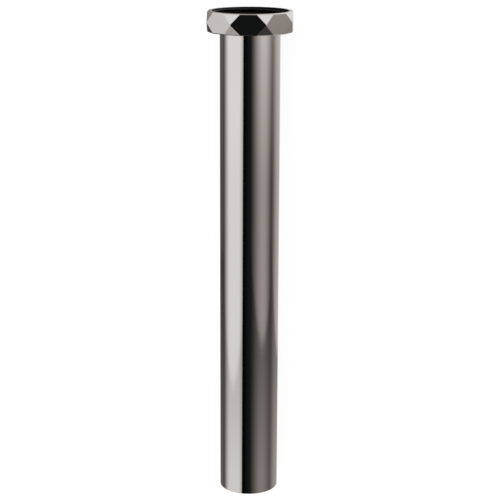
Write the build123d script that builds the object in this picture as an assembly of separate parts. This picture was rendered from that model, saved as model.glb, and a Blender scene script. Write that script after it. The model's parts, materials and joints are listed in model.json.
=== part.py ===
from build123d import *

import math
import os

# Flanged tail pipe for a basin waste, with its loose union nut and sealing washer. All lengths are in mm.
# The pieces are built upright about Z, with the nut's open mouth at z = 0 and the tube hanging below it.
# At the end they are laid down, as they come to rest: nut towards +Y, on one of its flats and the tube's end.

# Tube
tube_outer_diameter = 32.0
tube_wall = 1.0
tube_length = 258.9  # from the top of the flange to the plain end
plain_end_outer_chamfer = 0.3
plain_end_inner_chamfer = 0.2

# Flange, turned out of the tube's own wall
flange_width = 3.1  # how far it stands out of the tube, on the radius
flange_thickness = 1.0
flange_root_radius = 0.8  # under the flange, where it meets the tube
flange_edge_radius = 0.3

# Union nut, eight flats with each corner cut back by a flat facet above and below
nut_flats = 8
nut_height = 11.0
nut_groove_wall = 1.25  # the thinnest wall, between a flat and the relief groove inside
nut_shoulder_thickness = 2.0
mouth_rim_bevel = 0.3
shoulder_rim_bevel_height = 0.5
shoulder_rim_bevel_width = 0.4
corner_land_height = 0.4  # what is left of each upright corner at half height
mouth_countersink_depth = 0.92
shoulder_bore_lower_chamfer = 0.3

# Pipe thread inside the nut, from its crests out to its roots. The solid's bore is at the crests.
thread_depth = 1.479

# Washer
washer_thickness = 2.0
washer_setback = 0.8  # from the tube's bore back to the washer's hole, on the radius

# Clearances
nut_bore_clearance = 0.6  # between the tube and the hole in the nut's shoulder, on the radius
nut_end_play = 0.3  # between the flange and the nut's shoulder, along the tube
flange_clearance = 0.376  # between the flange's edge and the thread's crests, on the radius
washer_clearance = 0.45  # between the washer's edge and the thread's crests, on the radius
washer_headroom = 0.25  # between the washer and the first turn of the thread, along the tube
thread_relief_clearance = 0.145  # from the thread's roots out to the relief groove, on the radius
flange_root_clearance = 0.1  # between the flange's root and the chamfer in the nut's shoulder

tube_radius = tube_outer_diameter / 2
tube_bore_radius = tube_radius - tube_wall
flange_radius = tube_radius + flange_width
# The next two lines come to the 38.952 and 41.910 mm diameters of a G 1 1/4 thread
thread_inner_radius = flange_radius + flange_clearance
thread_outer_radius = thread_inner_radius + thread_depth
relief_radius = thread_outer_radius + thread_relief_clearance
flat_distance = relief_radius + nut_groove_wall
washer_radius = thread_inner_radius - washer_clearance
washer_bore_radius = tube_bore_radius + washer_setback
nut_bore_radius = tube_radius + nut_bore_clearance
shoulder_bore_upper_chamfer = flange_root_radius + flange_root_clearance

# Heights on the upright pieces, downwards from the nut's mouth
shoulder_top_z = -nut_height + nut_shoulder_thickness
flange_bottom_z = shoulder_top_z + nut_end_play
flange_top_z = flange_bottom_z + flange_thickness
washer_top_z = flange_top_z + washer_thickness
thread_bottom_z = washer_top_z + washer_headroom
plain_end_z = flange_top_z - tube_length


def corner_radius(sides, distance):
    """Distance from the centre to a corner of a regular polygon whose sides lie at the given distance."""
    return distance / math.cos(math.pi / sides)


def ring_points(sides, distance, z):
    """Corners of a regular polygon at height z, turned so that the middle of one side faces -Y."""
    radius = corner_radius(sides, distance)
    points = []
    for i in range(sides):
        angle = math.radians(-90 + (i - 0.5) * 360 / sides)
        points.append(Vector(radius * math.cos(angle), radius * math.sin(angle), z))
    return points


def flat_face(points):
    return Face(Wire.make_polygon(points, close=True))


def nut_blank():
    """The nut's outside: flats between two sixteen-sided rims, with a triangle above and below each corner."""
    rim_sides = 2 * nut_flats
    mouth_edge = ring_points(rim_sides, flat_distance - mouth_rim_bevel, 0)
    upper_rim = ring_points(rim_sides, flat_distance, -mouth_rim_bevel)
    land_top_z = -nut_height / 2 + corner_land_height / 2
    upper_corners = ring_points(nut_flats, flat_distance, land_top_z)
    lower_corners = ring_points(nut_flats, flat_distance, land_top_z - corner_land_height)
    lower_rim = ring_points(rim_sides, flat_distance, -nut_height + shoulder_rim_bevel_height)
    shoulder_edge = ring_points(rim_sides, flat_distance - shoulder_rim_bevel_width, -nut_height)

    faces = [flat_face(mouth_edge), flat_face(shoulder_edge)]
    for i in range(rim_sides):
        j = (i + 1) % rim_sides
        faces.append(flat_face([mouth_edge[i], mouth_edge[j], upper_rim[j], upper_rim[i]]))
        faces.append(flat_face([lower_rim[i], lower_rim[j], shoulder_edge[j], shoulder_edge[i]]))
    for i in range(nut_flats):
        j = (i + 1) % nut_flats
        left, right = 2 * i, 2 * i + 1  # the flat's own two corners on each rim
        following = (right + 1) % rim_sides
        faces.append(
            flat_face(
                [
                    upper_rim[left],
                    upper_rim[right],
                    upper_corners[j],
                    lower_corners[j],
                    lower_rim[right],
                    lower_rim[left],
                    lower_corners[i],
                    upper_corners[i],
                ]
            )
        )
        faces.append(flat_face([upper_rim[right], upper_rim[following], upper_corners[j]]))
        faces.append(flat_face([lower_rim[right], lower_rim[following], lower_corners[j]]))
    return Solid(Shell(faces))


def revolved(points):
    """A solid of revolution about Z from (radius, z) points, given in order round the section."""
    section = Plane.XZ * make_face(Polyline(*points, close=True))
    return revolve(section, Axis.Z)


def union_nut():
    countersink_radius = thread_inner_radius + mouth_countersink_depth
    above = 1.0  # the cut runs past both ends of the nut
    hollow = revolved(
        [
            (0, above),
            (countersink_radius + above, above),
            (thread_inner_radius, -mouth_countersink_depth),
            (thread_inner_radius, thread_bottom_z),
            (relief_radius, thread_bottom_z),
            (relief_radius, shoulder_top_z),
            (nut_bore_radius + shoulder_bore_upper_chamfer, shoulder_top_z),
            (nut_bore_radius, shoulder_top_z - shoulder_bore_upper_chamfer),
            (nut_bore_radius, -nut_height + shoulder_bore_lower_chamfer),
            (nut_bore_radius + shoulder_bore_lower_chamfer + above, -nut_height - above),
            (0, -nut_height - above),
        ]
    )
    return nut_blank() - hollow


def circles_at(solid, z, radius):
    """The circular edges of a solid at this height with this radius."""
    tolerance = 1e-4
    return [
        edge
        for edge in solid.edges().filter_by(GeomType.CIRCLE)
        if abs(edge.arc_center.Z - z) < tolerance and abs(edge.radius - radius) < tolerance
    ]


def tail_tube():
    """A drawn tube whose upper end is turned out into a flange, with a smooth throat inside."""
    tube = revolved(
        [
            (tube_bore_radius, plain_end_z),
            (tube_radius, plain_end_z),
            (tube_radius, flange_bottom_z),
            (flange_radius, flange_bottom_z),
            (flange_radius, flange_top_z),
            (tube_bore_radius, flange_top_z),
        ]
    )
    throat_radius = flange_root_radius + tube_wall
    tube = fillet(circles_at(tube, flange_bottom_z, tube_radius), flange_root_radius)
    tube = fillet(circles_at(tube, flange_top_z, tube_bore_radius), throat_radius)
    rim = circles_at(tube, flange_top_z, flange_radius) + circles_at(tube, flange_bottom_z, flange_radius)
    tube = fillet(rim, flange_edge_radius)
    tube = chamfer(circles_at(tube, plain_end_z, tube_radius), plain_end_outer_chamfer)
    tube = chamfer(circles_at(tube, plain_end_z, tube_bore_radius), plain_end_inner_chamfer)
    return tube


def sealing_washer():
    """A flat ring that lies on the flange, face to face."""
    return revolved(
        [
            (washer_bore_radius, flange_top_z),
            (washer_radius, flange_top_z),
            (washer_radius, washer_top_z),
            (washer_bore_radius, washer_top_z),
        ]
    )


def lying_pose():
    """Lays the upright pieces down, with the middle of the footprint at the origin and the surface at z = 0.

    The nut stands on the shoulder end of its lower flat and the tube on the edge of its plain end, so the
    axis slopes by the difference of their radii over the distance between the two.
    """
    nut_foot_depth = nut_height - shoulder_rim_bevel_height
    tube_foot_depth = -plain_end_z - plain_end_outer_chamfer
    slope = math.atan2(flat_distance - tube_radius, tube_foot_depth - nut_foot_depth)
    height = flat_distance * math.cos(slope) + nut_foot_depth * math.sin(slope)
    mouth_reach = (flat_distance - mouth_rim_bevel) * math.sin(slope)
    plain_end_reach = -plain_end_z * math.cos(slope) + (tube_radius - plain_end_outer_chamfer) * math.sin(slope)
    middle = (plain_end_reach - mouth_reach) / 2
    return Location((0, middle, height), (math.degrees(slope) - 90, 0, 0))


pieces = {
    "tail_tube": tail_tube(),
    "union_nut": union_nut(),
    "sealing_washer": sealing_washer(),
}
pose = lying_pose()
os.makedirs("parts", exist_ok=True)
for node, piece in pieces.items():
    export_step(pose * piece, f"parts/{node}.step")
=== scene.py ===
import json
import math

import bpy
from mathutils import Matrix, Vector


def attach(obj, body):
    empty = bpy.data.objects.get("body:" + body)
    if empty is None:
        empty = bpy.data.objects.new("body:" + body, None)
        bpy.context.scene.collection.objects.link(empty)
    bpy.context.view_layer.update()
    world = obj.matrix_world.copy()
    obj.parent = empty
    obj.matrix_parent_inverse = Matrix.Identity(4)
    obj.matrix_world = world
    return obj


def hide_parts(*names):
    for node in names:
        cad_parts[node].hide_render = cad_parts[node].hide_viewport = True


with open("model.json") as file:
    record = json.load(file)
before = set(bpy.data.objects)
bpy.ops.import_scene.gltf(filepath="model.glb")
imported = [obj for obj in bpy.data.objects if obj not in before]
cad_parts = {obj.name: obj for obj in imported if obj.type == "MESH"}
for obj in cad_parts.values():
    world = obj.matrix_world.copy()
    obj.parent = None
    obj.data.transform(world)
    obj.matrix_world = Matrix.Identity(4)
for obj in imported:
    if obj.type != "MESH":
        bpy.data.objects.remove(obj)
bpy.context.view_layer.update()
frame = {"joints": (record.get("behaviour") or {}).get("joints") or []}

# A basin waste's tail pipe with its loose union nut and sealing washer, lying on a pale floor.
# Every piece is modelled upright round Z, with the nut's mouth at z = 0 and the tube hanging below
# it, and is then laid down where the frame's joint says.

bpy.ops.object.select_all(action="DESELECT")

mm = 0.001
nutHeight = 11 * mm
mergeDistance = 0.002 * mm
cutTolerance = 0.0001 * mm
ringSlack = 0.02 * mm  # how far a point may be off a ring and still belong to it
white = (1, 1, 1, 1)

# The joint sits on the axis, at the nut's shoulder end
spin = frame["joints"][0]
along = Vector(spin["axis"]).normalized()
along = along if along.y > 0 else -along
mouth = Vector(spin["pos_m"]) + along * nutHeight
across = Vector((1, 0, 0))
turned = Matrix((across, along.cross(across), along)).transposed()
layDown = Matrix.Translation(mouth) @ turned.to_4x4()


def edit(piece):
    bpy.context.view_layer.objects.active = piece
    bpy.ops.object.mode_set(mode="EDIT")
    bpy.ops.mesh.select_mode(type="VERT")
    bpy.ops.mesh.select_all(action="SELECT")


def done():
    bpy.ops.object.mode_set(mode="OBJECT")


def addModifier(piece, kind, **settings):
    bpy.context.view_layer.objects.active = piece
    modifier = piece.modifiers.new(kind.title(), kind)
    for name, value in settings.items():
        setattr(modifier, name, value)
    bpy.ops.object.modifier_apply(modifier=modifier.name)


def startRing(name, sides, radius, height):
    bpy.ops.mesh.primitive_circle_add(vertices=sides, radius=radius, location=(0, 0, 0))
    piece = bpy.context.object
    piece.name = name
    edit(piece)
    bpy.ops.transform.translate(value=(0, 0, height))
    return piece


def extrudeUp(distance):
    bpy.ops.mesh.extrude_region_move(TRANSFORM_OT_translate={"value": (0, 0, distance)})


def extrudeRings(rings):
    # from the selected ring, through each further (radius, height)
    for (radius, height), (nextRadius, nextHeight) in zip(rings, rings[1:]):
        extrudeUp(nextHeight - height)
        wider = nextRadius / radius
        bpy.ops.transform.resize(value=(wider, wider, 1))


def faceOutwards():
    bpy.ops.mesh.select_all(action="SELECT")
    bpy.ops.mesh.normals_make_consistent(inside=False)


def roundRing(piece, radius, height, size, steps):
    # rounds the edge that runs round the piece at this radius and height
    done()
    bpy.context.tool_settings.mesh_select_mode = (False, True, False)
    mesh = piece.data
    onRing = []
    for point in mesh.vertices:
        off = max(abs(point.co.xy.length - radius), abs(point.co.z - height))
        onRing.append(off < ringSlack)
    for part in (*mesh.vertices, *mesh.polygons):
        part.select = False
    for line in mesh.edges:
        line.select = all(onRing[i] for i in line.vertices)
    bpy.ops.object.mode_set(mode="EDIT")
    bpy.ops.mesh.bevel(offset=size, segments=steps, profile=0.5)


def finishMesh(piece, creaseAngle):
    edit(piece)
    bpy.ops.mesh.remove_doubles(threshold=mergeDistance)
    faceOutwards()
    done()
    bpy.ops.object.select_all(action="DESELECT")
    piece.select_set(True)
    piece.matrix_world = layDown
    bpy.ops.object.transform_apply(location=True, rotation=True, scale=True)
    bpy.ops.object.shade_smooth_by_angle(angle=math.radians(creaseAngle))
    addModifier(piece, "WEIGHTED_NORMAL", keep_sharp=True, weight=100)
    piece.select_set(False)


def place(piece, body, node, slot, material):
    piece.data.materials.clear()
    piece.data.materials.append(material)
    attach(piece, body)
    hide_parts(node)
    print("made", piece.name, len(piece.data.polygons), "faces")


tube = {
    "sides": 192,
    "outerRadius": 16 * mm,
    "wall": 1 * mm,
    "plainEnd": -266.6 * mm,
    "flangeUnderside": -8.7 * mm,
    "flangeRadius": 19.1 * mm,
    "rootRadius": 0.8 * mm,  # under the flange
    "throatRadius": 1.8 * mm,  # inside, where the wall turns out into the flange
    "flangeEdgeRadius": 0.3 * mm,
    "endOuterEdge": 0.12 * mm,
    "endInnerEdge": 0.2 * mm,
    "creaseAngle": 35,
}


def makeTube():
    outer, wall, flange = tube["outerRadius"], tube["wall"], tube["flangeRadius"]
    low, high = tube["plainEnd"], tube["flangeUnderside"]
    piece = startRing("tailTube", tube["sides"], outer, low)
    extrudeRings([(outer, low), (outer, high), (flange, high)])
    faceOutwards()
    done()
    addModifier(piece, "SOLIDIFY", thickness=wall, offset=-1, use_even_offset=True, use_rim=True)
    top = high + wall
    roundRing(piece, outer, high, tube["rootRadius"], steps=6)
    roundRing(piece, outer - wall, top, tube["throatRadius"], steps=10)
    roundRing(piece, flange, high, tube["flangeEdgeRadius"], steps=4)
    roundRing(piece, flange, top, tube["flangeEdgeRadius"], steps=4)
    roundRing(piece, outer, low, tube["endOuterEdge"], steps=4)
    roundRing(piece, outer - wall, low, tube["endInnerEdge"], steps=3)
    finishMesh(piece, tube["creaseAngle"])
    return piece


washer = {
    "sides": 160,
    "innerRadius": 15.8 * mm,
    "outerRadius": 19.026 * mm,
    "thickness": 2 * mm,
    "seat": -7.7 * mm,  # the flange's face
    "edgeRadius": 0.15 * mm,
    "creaseAngle": 35,
}


def makeWasher():
    inner, outer, seat = washer["innerRadius"], washer["outerRadius"], washer["seat"]
    piece = startRing("sealingWasher", washer["sides"], inner, seat)
    extrudeRings([(inner, seat), (outer, seat)])
    bpy.ops.mesh.select_all(action="SELECT")
    extrudeUp(washer["thickness"])
    faceOutwards()
    for radius in (inner, outer):
        for height in (seat, seat + washer["thickness"]):
            roundRing(piece, radius, height, washer["edgeRadius"], steps=3)
    finishMesh(piece, washer["creaseAngle"])
    return piece


nut = {
    "flats": 8,
    "flatDistance": 22.35 * mm,  # from the axis to a flat
    "mouthRim": (0.3 * mm, 0.3 * mm),  # how far the bevel goes in, and down
    "shoulderRim": (0.4 * mm, 0.5 * mm),
    "cornerLand": 0.4 * mm,  # what is left of an upright corner between its two facets
    "edgeRounding": 0.12 * mm,
    "sharpFrom": 10,  # an edge is rounded where its two faces turn by more degrees than this
    "boreSides": 128,
    "countersinkRadius": 20.396 * mm,
    "countersinkDepth": 0.92 * mm,
    "threadBottom": -5.45 * mm,
    "reliefRadius": 21.1 * mm,
    "shoulderTop": -9 * mm,
    "holeRadius": 16.6 * mm,
    "holeUpperEdge": 0.9 * mm,
    "holeLowerEdge": 0.3 * mm,
    "creaseAngle": 28,
}

thread = {
    "pitch": 2.309 * mm,
    "crestRadius": 19.476 * mm,
    "rootRadius": 20.955 * mm,
    "flankAngle": 27.5,
    "turns": 4,
    "start": -7.6 * mm,  # in the relief groove, where it cuts nothing
    "cutterReach": 0.18 * mm,  # how far the cutter stands into the bore, so that it cuts cleanly
}


def cutSlope(angle, high, low):
    # on the side facing angle, cuts off what lies outside the slope from one (radius, height)
    # down to another
    run, drop = low[0] - high[0], high[1] - low[1]
    outward = Vector((math.cos(angle), math.sin(angle), 0))
    bpy.ops.mesh.select_all(action="SELECT")
    bpy.ops.mesh.bisect(
        plane_co=outward * high[0] + Vector((0, 0, high[1])),
        plane_no=(outward * drop + Vector((0, 0, run))).normalized(),
        use_fill=True,
        clear_outer=True,
        threshold=cutTolerance,
    )


def makeBlank():
    flats, flatDistance = nut["flats"], nut["flatDistance"]
    step = math.tau / flats
    cornerRadius = flatDistance / math.cos(step / 2)
    bpy.ops.mesh.primitive_cylinder_add(
        vertices=flats,
        radius=cornerRadius,
        depth=nutHeight,
        location=(0, 0, -nutHeight / 2),
        rotation=(0, 0, step / 2),
    )
    piece = bpy.context.object
    piece.name = "unionNut"
    bpy.ops.object.transform_apply(location=True, rotation=True, scale=True)
    mouthIn, mouthDown = nut["mouthRim"]
    shoulderIn, shoulderUp = nut["shoulderRim"]
    upperRim = (flatDistance, -mouthDown)
    lowerRim = (flatDistance, shoulderUp - nutHeight)
    landTop = -nutHeight / 2 + nut["cornerLand"] / 2
    landBottom = landTop - nut["cornerLand"]
    edit(piece)
    for i in range(flats):
        corner = (i + 0.5) * step
        cutSlope(corner, upperRim, (cornerRadius, landTop))
        cutSlope(corner, (cornerRadius, landBottom), lowerRim)
    for i in range(2 * flats):
        side = i * step / 2
        cutSlope(side, (flatDistance - mouthIn, 0), upperRim)
        cutSlope(side, lowerRim, (flatDistance - shoulderIn, -nutHeight))
    bpy.ops.mesh.select_all(action="DESELECT")
    bpy.ops.mesh.edges_select_sharp(sharpness=math.radians(nut["sharpFrom"]))
    bpy.ops.mesh.bevel(offset=nut["edgeRounding"], segments=3, profile=0.5)
    done()
    return piece


def makeHollow():
    # a plug of the shape of the nut's inside, longer than the nut at both ends
    beyond = 1 * mm
    crest, relief, hole = thread["crestRadius"], nut["reliefRadius"], nut["holeRadius"]
    firstRing = (hole + nut["holeLowerEdge"] + beyond, -nutHeight - beyond)
    rings = [
        firstRing,
        (hole, -nutHeight + nut["holeLowerEdge"]),
        (hole, nut["shoulderTop"] - nut["holeUpperEdge"]),
        (hole + nut["holeUpperEdge"], nut["shoulderTop"]),
        (relief, nut["shoulderTop"]),
        (relief, nut["threadBottom"]),
        (crest, nut["threadBottom"]),
        (crest, -nut["countersinkDepth"]),
        (nut["countersinkRadius"] + beyond, beyond),
    ]
    bpy.ops.mesh.primitive_circle_add(
        vertices=nut["boreSides"],
        radius=firstRing[0],
        fill_type="NGON",
        location=(0, 0, firstRing[1]),
    )
    piece = bpy.context.object
    edit(piece)
    extrudeRings(rings)
    faceOutwards()
    done()
    return piece


def makeThreadCutter():
    # one groove of the thread in section, wound up the bore
    crest, root, pitch = thread["crestRadius"], thread["rootRadius"], thread["pitch"]
    inner = crest - thread["cutterReach"]
    middle = (root + inner) / 2
    rootWidth = pitch / 6  # of the flat bottom, before its two corners are rounded
    rootRounding = rootWidth / 4
    innerWidth = rootWidth + 2 * (root - inner) * math.tan(math.radians(thread["flankAngle"]))
    bpy.ops.mesh.primitive_plane_add(size=1, rotation=(math.pi / 2, 0, 0), location=(0, 0, 0))
    piece = bpy.context.object
    piece.scale = (root - inner, innerWidth, 1)
    bpy.ops.object.transform_apply(location=True, rotation=True, scale=True)
    edit(piece)
    bpy.ops.transform.translate(value=(middle, 0, thread["start"]))
    done()
    mesh = piece.data
    for part in (*mesh.edges, *mesh.polygons):
        part.select = False
    for corner in mesh.vertices:
        corner.select = corner.co.x > middle
    bpy.context.tool_settings.mesh_select_mode = (True, False, False)
    bpy.ops.object.mode_set(mode="EDIT")
    bpy.ops.transform.resize(value=(1, 1, rootWidth / innerWidth))
    bpy.ops.mesh.bevel(offset=rootRounding, segments=2, affect="VERTICES")
    bpy.ops.mesh.select_all(action="SELECT")
    bpy.ops.mesh.delete(type="ONLY_FACE")
    done()
    addModifier(
        piece,
        "SCREW",
        angle=math.tau,
        screw_offset=pitch,
        iterations=thread["turns"],
        steps=nut["boreSides"],
        render_steps=nut["boreSides"],
        use_merge_vertices=False,
    )
    edit(piece)
    bpy.ops.mesh.select_all(action="DESELECT")
    bpy.ops.mesh.select_non_manifold()
    bpy.ops.mesh.fill_holes(sides=0)
    faceOutwards()
    done()
    return piece


def makeNut():
    piece = makeBlank()
    for cutter in (makeHollow(), makeThreadCutter()):
        addModifier(piece, "BOOLEAN", operation="DIFFERENCE", solver="EXACT", object=cutter)
        bpy.data.objects.remove(cutter)
    finishMesh(piece, nut["creaseAngle"])
    return piece


def feed(tree, value, socket):
    # a link from another node, or a plain number or colour
    if isinstance(value, bpy.types.NodeSocket):
        tree.links.new(value, socket)
    else:
        socket.default_value = value


def addMath(tree, operation, *values):
    node = tree.nodes.new("ShaderNodeMath")
    node.operation = operation
    for value, socket in zip(values, node.inputs):
        feed(tree, value, socket)
    return node.outputs[0]


def addRange(tree, value, start, end, low=0.0, high=1.0, smooth=True):
    # value taken from start..end to low..high, and held there
    node = tree.nodes.new("ShaderNodeMapRange")
    node.interpolation_type = "SMOOTHSTEP" if smooth else "LINEAR"
    feed(tree, value, node.inputs["Value"])
    feed(tree, start, node.inputs["From Min"])
    feed(tree, end, node.inputs["From Max"])
    feed(tree, low, node.inputs["To Min"])
    feed(tree, high, node.inputs["To Max"])
    return node.outputs[0]


def addMix(tree, factor, first, second):
    node = tree.nodes.new("ShaderNodeMix")
    node.data_type = "RGBA"
    sockets = [s for s in node.inputs if s.enabled]
    for value, socket in zip((factor, first, second), sockets):
        feed(tree, value, socket)
    return [s for s in node.outputs if s.enabled][0]


def newMaterial(name):
    material = bpy.data.materials.new(name)
    material.use_nodes = True
    return material, material.node_tree, material.node_tree.nodes["Principled BSDF"]


def uprightPlace(tree):
    # where a point is on the upright model, from its place on the laid down one
    place = tree.nodes.new("ShaderNodeTexCoord")
    turn = tree.nodes.new("ShaderNodeMapping")
    turn.vector_type = "TEXTURE"
    turn.inputs["Location"].default_value = layDown.translation
    turn.inputs["Rotation"].default_value = layDown.to_euler()
    tree.links.new(place.outputs["Object"], turn.inputs["Vector"])
    return turn.outputs["Vector"]


plating = {
    "colour": (0.42, 0.40, 0.385, 1),
    "roughness": 0.06,
    "unevenness": 0.01,  # of the roughness, from one polishing mark to the next
    "markRange": (0.3, 0.7),  # of the noise, from the faintest mark to the strongest
    "markHeight": 0.03,  # of a polishing mark, as a share of the waves' height
    "acrossScale": 60,  # of the marks, across the rings that they form
    "waveScale": 70,
    "waveHeight": 0.004 * mm,
    "dullAndShadeFrom": (0.1 * mm, 0.4 * mm, 0.05 * mm),  # in from the bore's side, floor and top
}

# Inside the bores the plating is painted duller: in the tube's bore that is its own dull plating,
# in the nut's bore the dark colour is painted shade, and in the thread's roots it is painted black
# shade. "inside" is the bore's radius, and its lowest and highest point. "roots" is from which
# radius to which the painted shade turns black, and what is left there of its metallic look.
tubeFinish = {
    "ringScale": 1500,
    "inside": (15.2 * mm, -266.4 * mm, 0),
    "insideDullAndShadeColour": (0.32, 0.30, 0.28, 1),
    "insideRoughness": 0.5,
    "roots": (16 * mm, 17 * mm, 1),
}
nutFinishAndShade = {
    "ringScale": 900,
    "inside": (21.4 * mm, -9.6 * mm, -0.02 * mm),
    # painted shade: the nut's bore is painted near black, as if in shade
    "insideDullAndShadeColour": (0.058, 0.059, 0.060, 1),
    "insideRoughness": 0.22,
    "roots": (19.49 * mm, 19.65 * mm, 0.1),
}
# painted shade: the black painted into the thread's roots
paintedRootShade = (0.006, 0.006, 0.006, 1)


def addNoise(tree, vector, scale, detail):
    noise = tree.nodes.new("ShaderNodeTexNoise")
    noise.inputs["Scale"].default_value = scale
    noise.inputs["Detail"].default_value = detail
    tree.links.new(vector, noise.inputs["Vector"])
    return noise.outputs["Fac"]


def addBump(tree, height, distance, shader):
    bump = tree.nodes.new("ShaderNodeBump")
    bump.inputs["Strength"].default_value = 1
    bump.inputs["Distance"].default_value = distance
    tree.links.new(height, bump.inputs["Height"])
    tree.links.new(bump.outputs["Normal"], shader.inputs["Normal"])


def buildPolishGroup():
    # what polishing leaves on plated brass: faint rings round the work, and a slow unevenness
    group = bpy.data.node_groups.new("polishMarks", "ShaderNodeTree")
    face = group.interface
    face.new_socket("Place", in_out="INPUT", socket_type="NodeSocketVector")
    for name in ("Ring Scale", "Inside Radius", "Inside Floor", "Inside Top"):
        face.new_socket(name, in_out="INPUT", socket_type="NodeSocketFloat")
    for name in ("Marks", "Waves", "Inside", "Radius"):
        face.new_socket(name, in_out="OUTPUT", socket_type="NodeSocketFloat")
    start = group.nodes.new("NodeGroupInput")
    end = group.nodes.new("NodeGroupOutput")
    point = start.outputs["Place"]

    stretch = group.nodes.new("ShaderNodeCombineXYZ")
    stretch.inputs["X"].default_value = plating["acrossScale"]
    stretch.inputs["Y"].default_value = plating["acrossScale"]
    group.links.new(start.outputs["Ring Scale"], stretch.inputs["Z"])
    scaled = group.nodes.new("ShaderNodeVectorMath")
    scaled.operation = "MULTIPLY"
    group.links.new(point, scaled.inputs[0])
    group.links.new(stretch.outputs["Vector"], scaled.inputs[1])
    marks = addNoise(group, scaled.outputs["Vector"], scale=1, detail=3)
    group.links.new(marks, end.inputs["Marks"])
    waves = addNoise(group, point, plating["waveScale"], detail=1)
    group.links.new(waves, end.inputs["Waves"])

    parts = group.nodes.new("ShaderNodeSeparateXYZ")
    group.links.new(point, parts.inputs[0])
    x, y, z = parts.outputs
    square = addMath(group, "MULTIPLY_ADD", x, x, addMath(group, "MULTIPLY", y, y))
    radius = addMath(group, "SQRT", square)
    group.links.new(radius, end.inputs["Radius"])
    depth = addMath(group, "SUBTRACT", start.outputs["Inside Radius"], radius)
    above = addMath(group, "SUBTRACT", z, start.outputs["Inside Floor"])
    below = addMath(group, "SUBTRACT", start.outputs["Inside Top"], z)
    inside = 1
    for distance, fade in zip((depth, above, below), plating["dullAndShadeFrom"]):
        inside = addMath(group, "MULTIPLY", inside, addRange(group, distance, 0, fade))
    group.links.new(inside, end.inputs["Inside"])
    return group


def platingMaterial(name, polishMarks, finishAndShade):
    material, tree, shader = newMaterial(name)
    polish = tree.nodes.new("ShaderNodeGroup")
    polish.node_tree = polishMarks
    polish.inputs["Ring Scale"].default_value = finishAndShade["ringScale"]
    for socket, value in zip(("Inside Radius", "Inside Floor", "Inside Top"), finishAndShade["inside"]):
        polish.inputs[socket].default_value = value
    tree.links.new(uprightPlace(tree), polish.inputs["Place"])
    marks, waves, inside, radius = polish.outputs

    # the tube's bore is painted dull; the nut's bore and thread roots are painted dark as shade
    crestRadius, rootRadius, metalInRoot = finishAndShade["roots"]
    root = addRange(tree, radius, crestRadius, rootRadius)
    dullAndShaded = addMix(tree, root, finishAndShade["insideDullAndShadeColour"], paintedRootShade)
    feed(tree, addMix(tree, inside, plating["colour"], dullAndShaded), shader.inputs["Base Color"])
    # painted shade: the thread's roots lose their metallic look, so they stay black
    rootShade = addMath(tree, "MULTIPLY", inside, root)
    feed(tree, addRange(tree, rootShade, 0, 1, 1, metalInRoot), shader.inputs["Metallic"])
    shader.inputs["Specular IOR Level"].default_value = 0  # so that what isn't metallic is matt
    roughness, uneven = plating["roughness"], plating["unevenness"]
    finest, roughest = roughness - uneven, roughness + uneven
    polished = addRange(tree, marks, *plating["markRange"], finest, roughest)
    rougher = addMath(tree, "MULTIPLY", inside, finishAndShade["insideRoughness"] - roughness)
    feed(tree, addMath(tree, "ADD", polished, rougher), shader.inputs["Roughness"])
    height = addMath(tree, "MULTIPLY_ADD", marks, plating["markHeight"], waves)
    addBump(tree, height, plating["waveHeight"], shader)
    return material


rubber = {
    "colour": (0.018, 0.018, 0.019, 1),
    "bloomColour": (0.035, 0.034, 0.033, 1),
    "bloomScale": 260,
    "bloomRange": (0.42, 0.7),  # of the noise, from no bloom to full bloom
    "roughness": (0.55, 0.67),  # plain, and where it has bloomed
    "grainScale": 6000,
    "grainDepth": 0.01 * mm,
}


def rubberMaterial():
    material, tree, shader = newMaterial("blackRubber")
    point = uprightPlace(tree)
    clouds = addNoise(tree, point, rubber["bloomScale"], detail=4)
    bloom = addRange(tree, clouds, *rubber["bloomRange"])
    colour = addMix(tree, bloom, rubber["colour"], rubber["bloomColour"])
    feed(tree, colour, shader.inputs["Base Color"])
    feed(tree, addRange(tree, bloom, 0, 1, *rubber["roughness"]), shader.inputs["Roughness"])
    grain = addNoise(tree, point, rubber["grainScale"], detail=2)
    addBump(tree, grain, rubber["grainDepth"], shader)
    return material


# Softboxes and walls that the plating mirrors. Azimuths and elevations are in degrees, as seen from
# the pipe: azimuth 0 is the camera's side, positive to its right, and elevation 90 is straight out
# of the nut's mouth. "left" and "right" say how far from the centre a panel starts to fade, and
# where it is gone. A panel ends at a lower edge, and what shows below that is its reflection in the
# table.
panels = {
    "leftSoftbox": {
        "centre": -67,
        "left": (14, 58),
        "right": (23, 58),
        "lowerEdge": -20.2,
        "edgeCurve": 10,
        "brightness": (1.80, 1.55),  # high up, and towards the lower edge
        "onTable": (1.12, 1.44, 0.70),  # just under the edge, further down, and close to the pipe
        "behindFlag": True,
    },
    "frontSoftbox": {
        "centre": 54,
        "left": (2, 54),
        "right": (3, 47),
        "lowerEdge": -18.5,
        "edgeCurve": 10,
        "brightness": (1.25, 0.66),
        "onTable": (0.22, 0.47, 0.07),
        "behindFlag": False,
    },
    "rightSoftbox": {
        "centre": 150,
        "left": (16, 63),
        "right": (20, 38),
        "lowerEdge": -18.95,
        "edgeCurve": 10.4,
        "brightness": (0.93, 0.73),
        "onTable": (0.36, 0.58, 0.90),
        "behindFlag": False,
    },
    "farWall": {
        "centre": -151,
        "left": (20, 40),
        "right": (20, 43),
        "lowerEdge": -15,
        "edgeCurve": 0,
        "brightness": (0.20, 0.14),
        "onTable": (0.085, 0.20, 0.10),
        "behindFlag": False,
    },
    "gapWall": {
        "centre": 97,
        "left": (3, 36),
        "right": (5, 42),
        "lowerEdge": -14.7,
        "edgeCurve": 0,
        "brightness": (0.28, 0.04),
        "onTable": (0.03, 0.16, 0.20),
        "behindFlag": False,
    },
    "flagSheen": {  # what little light the black card gives back
        "centre": 5,
        "left": (5, 30),
        "right": (20, 60),
        "lowerEdge": -90,
        "edgeCurve": 0,
        "brightness": (0.0175, 0.0175),
        "onTable": (0.0175, 0.0175, 0.0175),
        "behindFlag": False,
    },
}

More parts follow.
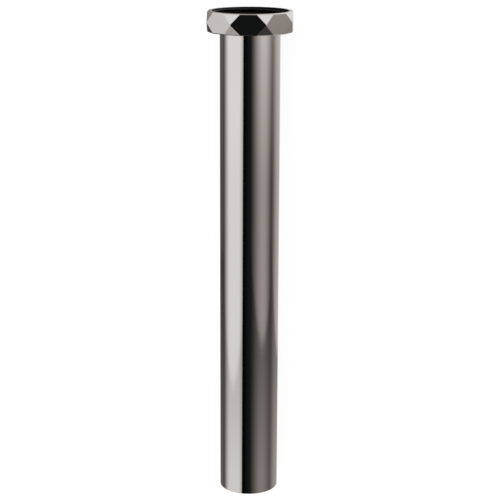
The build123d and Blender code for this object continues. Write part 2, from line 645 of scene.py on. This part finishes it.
studio = {
    "cameraTurn": 2.62,  # from the nut's nearest flat to the camera's side
    "upperWall": (-12, -5),  # between these the brightness goes from low to high
    "table": (-24, -45),  # where it is further down, and where it is close to the pipe
    "edgeSoftness": 0.4,
    # the flag, a black card beside the camera: its hard edge, its soft one, how far it leans to the
    # left per degree downwards, and its lower and upper ends, which are soft too
    "flagEdge": (-25.9, -24.5),
    "flagFade": (5, 40),
    "flagLean": 0.09,
    "flagFoot": (-50, -28),
    "flagHead": (42, 68),
    "overhead": (-8, 36),  # where the overhead softbox starts to show, and where it is full
    "overheadSpan": {"centre": 0, "left": (112, 178), "right": (125, 178)},
    "overheadBrightness": 1.5,
    "whitest": 1.62,
    # from and to which elevation the light changes, what share of it is left, and what is added
    "ends": (
        (42, 84, 0.48, 0),  # in front of the nut's mouth
        (-50, -68, 0.75, 0.2),  # behind the plain end
        (-75, -82, 0.03, 0),  # in line with the plain end
    ),
    "ambient": 0.001,
    "backdrop": 1.0,
}

# The light's tint by its share of the whitest: cool in the black card, warm on the walls, and white
# in the softboxes
tints = [
    (0, (0.55, 1.06, 1.12, 1)),
    (0.014, (0.97, 1, 0.98, 1)),
    (0.05, (1.07, 0.985, 0.94, 1)),
    (0.28, (1.07, 0.985, 0.94, 1)),
    (0.85, (0.985, 1, 1.015, 1)),
]


def buildWorld():
    world = bpy.data.worlds.new("studio")
    bpy.context.scene.world = world
    world.use_nodes = True
    tree = world.node_tree
    background = tree.nodes["Background"]

    # the direction as the upright pipe sees it
    ray = tree.nodes.new("ShaderNodeTexCoord")
    turn = tree.nodes.new("ShaderNodeMapping")
    facing = layDown.to_3x3() @ Matrix.Rotation(math.radians(studio["cameraTurn"]), 3, "Z")
    turn.inputs["Rotation"].default_value = facing.inverted().to_euler()
    parts = tree.nodes.new("ShaderNodeSeparateXYZ")
    tree.links.new(ray.outputs["Generated"], turn.inputs["Vector"])
    tree.links.new(turn.outputs["Vector"], parts.inputs[0])
    x, y, z = parts.outputs
    towards = addMath(tree, "MULTIPLY", y, -1)
    azimuth = addMath(tree, "DEGREES", addMath(tree, "ARCTAN2", x, towards))
    elevation = addMath(tree, "DEGREES", addMath(tree, "ARCSINE", z))

    def span(panel):
        # the angle from the panel's centre, and 1 across the panel, fading at both sides
        off = addMath(tree, "SUBTRACT", azimuth, panel["centre"])
        off = addMath(tree, "WRAP", off, 180, -180)
        leftFull, leftGone = panel["left"]
        rightFull, rightGone = panel["right"]
        fromLeft = addRange(tree, off, -leftGone, -leftFull)
        toRight = addRange(tree, off, rightFull, rightGone, 1, 0)
        return off, addMath(tree, "MULTIPLY", fromLeft, toRight)

    wallLow, wallHigh = studio["upperWall"]
    tableFar, tableNear = studio["table"]
    soft = studio["edgeSoftness"]
    # the light that the black card hides where it stands, and the light that it leaves alone
    behind, beside = 0.0, studio["ambient"]
    for panel in panels.values():
        off, width = span(panel)
        # the straight lower edge of a flat panel, seen from the pipe, rises to both sides
        lowerEdge = panel["lowerEdge"]
        cosine = addMath(tree, "COSINE", addMath(tree, "RADIANS", off))
        rise = addMath(tree, "SUBTRACT", 1, cosine)
        edge = addMath(tree, "MULTIPLY_ADD", rise, panel["edgeCurve"], lowerEdge)
        above = addRange(tree, addMath(tree, "SUBTRACT", elevation, edge), -soft, soft)
        high, low = panel["brightness"]
        under, far, near = panel["onTable"]
        light = addRange(tree, elevation, wallLow, wallHigh, low, high, smooth=False)
        mirrored = addRange(tree, elevation, tableFar, lowerEdge, far, under, smooth=False)
        closer = addRange(tree, elevation, tableFar, tableNear, 0, near - far, smooth=False)
        mirrored = addMath(tree, "ADD", mirrored, closer)
        brighter = addMath(tree, "SUBTRACT", light, mirrored)
        value = addMath(tree, "MULTIPLY_ADD", above, brighter, mirrored)
        if panel["behindFlag"]:
            behind = addMath(tree, "MULTIPLY_ADD", value, width, behind)
        else:
            beside = addMath(tree, "MULTIPLY_ADD", value, width, beside)

    off, width = span(studio["overheadSpan"])
    ceiling = addRange(tree, elevation, *studio["overhead"], 0, studio["overheadBrightness"])
    behind = addMath(tree, "MULTIPLY_ADD", ceiling, width, behind)
    leaning = addMath(tree, "MULTIPLY_ADD", elevation, -studio["flagLean"], azimuth)
    flag = addRange(tree, leaning, *studio["flagEdge"])
    for side in (
        addRange(tree, leaning, *studio["flagFade"], 1, 0),
        addRange(tree, elevation, *studio["flagFoot"]),
        addRange(tree, elevation, *studio["flagHead"], 1, 0),
    ):
        flag = addMath(tree, "MULTIPLY", flag, side)
    past = addMath(tree, "SUBTRACT", 1, flag)
    total = addMath(tree, "MULTIPLY_ADD", behind, past, beside)
    total = addMath(tree, "MINIMUM", total, studio["whitest"])
    for start, end, share, added in studio["ends"]:
        left = addRange(tree, elevation, start, end, 1, share)
        more = addRange(tree, elevation, start, end, 0, added)
        total = addMath(tree, "MULTIPLY_ADD", total, left, more)

    toned = tree.nodes.new("ShaderNodeValToRGB")
    stops = toned.color_ramp.elements
    for i, (position, tint) in enumerate(tints):
        stop = stops[i] if i < 2 else stops.new(position)  # a ramp comes with two stops
        stop.position = position
        stop.color = tint
    feed(tree, addMath(tree, "DIVIDE", total, studio["whitest"]), toned.inputs["Fac"])

    # the camera sees a plain white backdrop instead
    path = tree.nodes.new("ShaderNodeLightPath")
    seen = path.outputs["Is Camera Ray"]
    feed(tree, addMix(tree, seen, toned.outputs["Color"], white), background.inputs["Color"])
    strength = tree.nodes.new("ShaderNodeMix")
    feed(tree, seen, strength.inputs["Factor"])
    feed(tree, total, strength.inputs["A"])
    feed(tree, studio["backdrop"], strength.inputs["B"])
    feed(tree, strength.outputs["Result"], background.inputs["Strength"])


# The floor glows, as a lit table does, so the shadows on it stay faint
floorLook = {"size": 8, "colour": (0.2, 0.2, 0.2, 1), "glow": 0.82, "roughness": 0.85}
keyLight = {"size": 1.6, "height": 1.8, "power": 20}


def buildFloorAndLight():
    bpy.ops.mesh.primitive_plane_add(size=floorLook["size"], location=(0, 0, 0))
    floor = bpy.context.object
    floor.name = "floor"
    material, _, shader = newMaterial("paleFloor")
    shader.inputs["Base Color"].default_value = floorLook["colour"]
    shader.inputs["Emission Color"].default_value = white
    shader.inputs["Emission Strength"].default_value = floorLook["glow"]
    shader.inputs["Roughness"].default_value = floorLook["roughness"]
    floor.data.materials.append(material)
    floor.visible_glossy = False  # the plating mirrors the studio alone

    bpy.ops.object.light_add(type="AREA", location=(0, 0, keyLight["height"]))
    light = bpy.context.object
    light.name = "overheadLight"
    light.data.size = keyLight["size"]
    light.data.energy = keyLight["power"]
    light.visible_glossy = False


# Where the camera stands to the upright pipe. Distances are from the middle of the nut's mouth
view = {
    "side": 0.88 * mm,
    "back": 750.43 * mm,
    "above": 69.03 * mm,
    "pitch": 14.824,
    "yaw": -0.044,
    "roll": 0.222,
    "lens": 102.36,
    "sensor": 36,
    "clip": (0.05, 50),
}


def placeCamera():
    data = bpy.data.cameras.new("camera")
    data.lens = view["lens"]
    data.sensor_width = view["sensor"]
    data.clip_start, data.clip_end = view["clip"]
    camera = bpy.data.objects.new("camera", data)
    bpy.context.scene.collection.objects.link(camera)
    camera.matrix_world = (
        layDown
        @ Matrix.Rotation(math.radians(studio["cameraTurn"]), 4, "Z")
        @ Matrix.Translation((view["side"], -view["back"], view["above"]))
        @ Matrix.Rotation(math.radians(-view["yaw"]), 4, "Z")
        @ Matrix.Rotation(math.radians(90 - view["pitch"]), 4, "X")
        @ Matrix.Rotation(math.radians(view["roll"]), 4, "Z")
    )
    bpy.context.scene.camera = camera


placeCamera()
buildWorld()
buildFloorAndLight()
bpy.context.scene.view_settings.view_transform = "Standard"
print("studio and camera ready")

polishMarks = buildPolishGroup()
tubePlating = platingMaterial("gunmetalTube", polishMarks, tubeFinish)
nutPlating = platingMaterial("gunmetalNut", polishMarks, nutFinishAndShade)
place(makeTube(), "tube", "tail_tube", "gunmetal_plating", tubePlating)
place(makeWasher(), "tube", "sealing_washer", "black_rubber", rubberMaterial())
place(makeNut(), "nut", "union_nut", "gunmetal_plating", nutPlating)
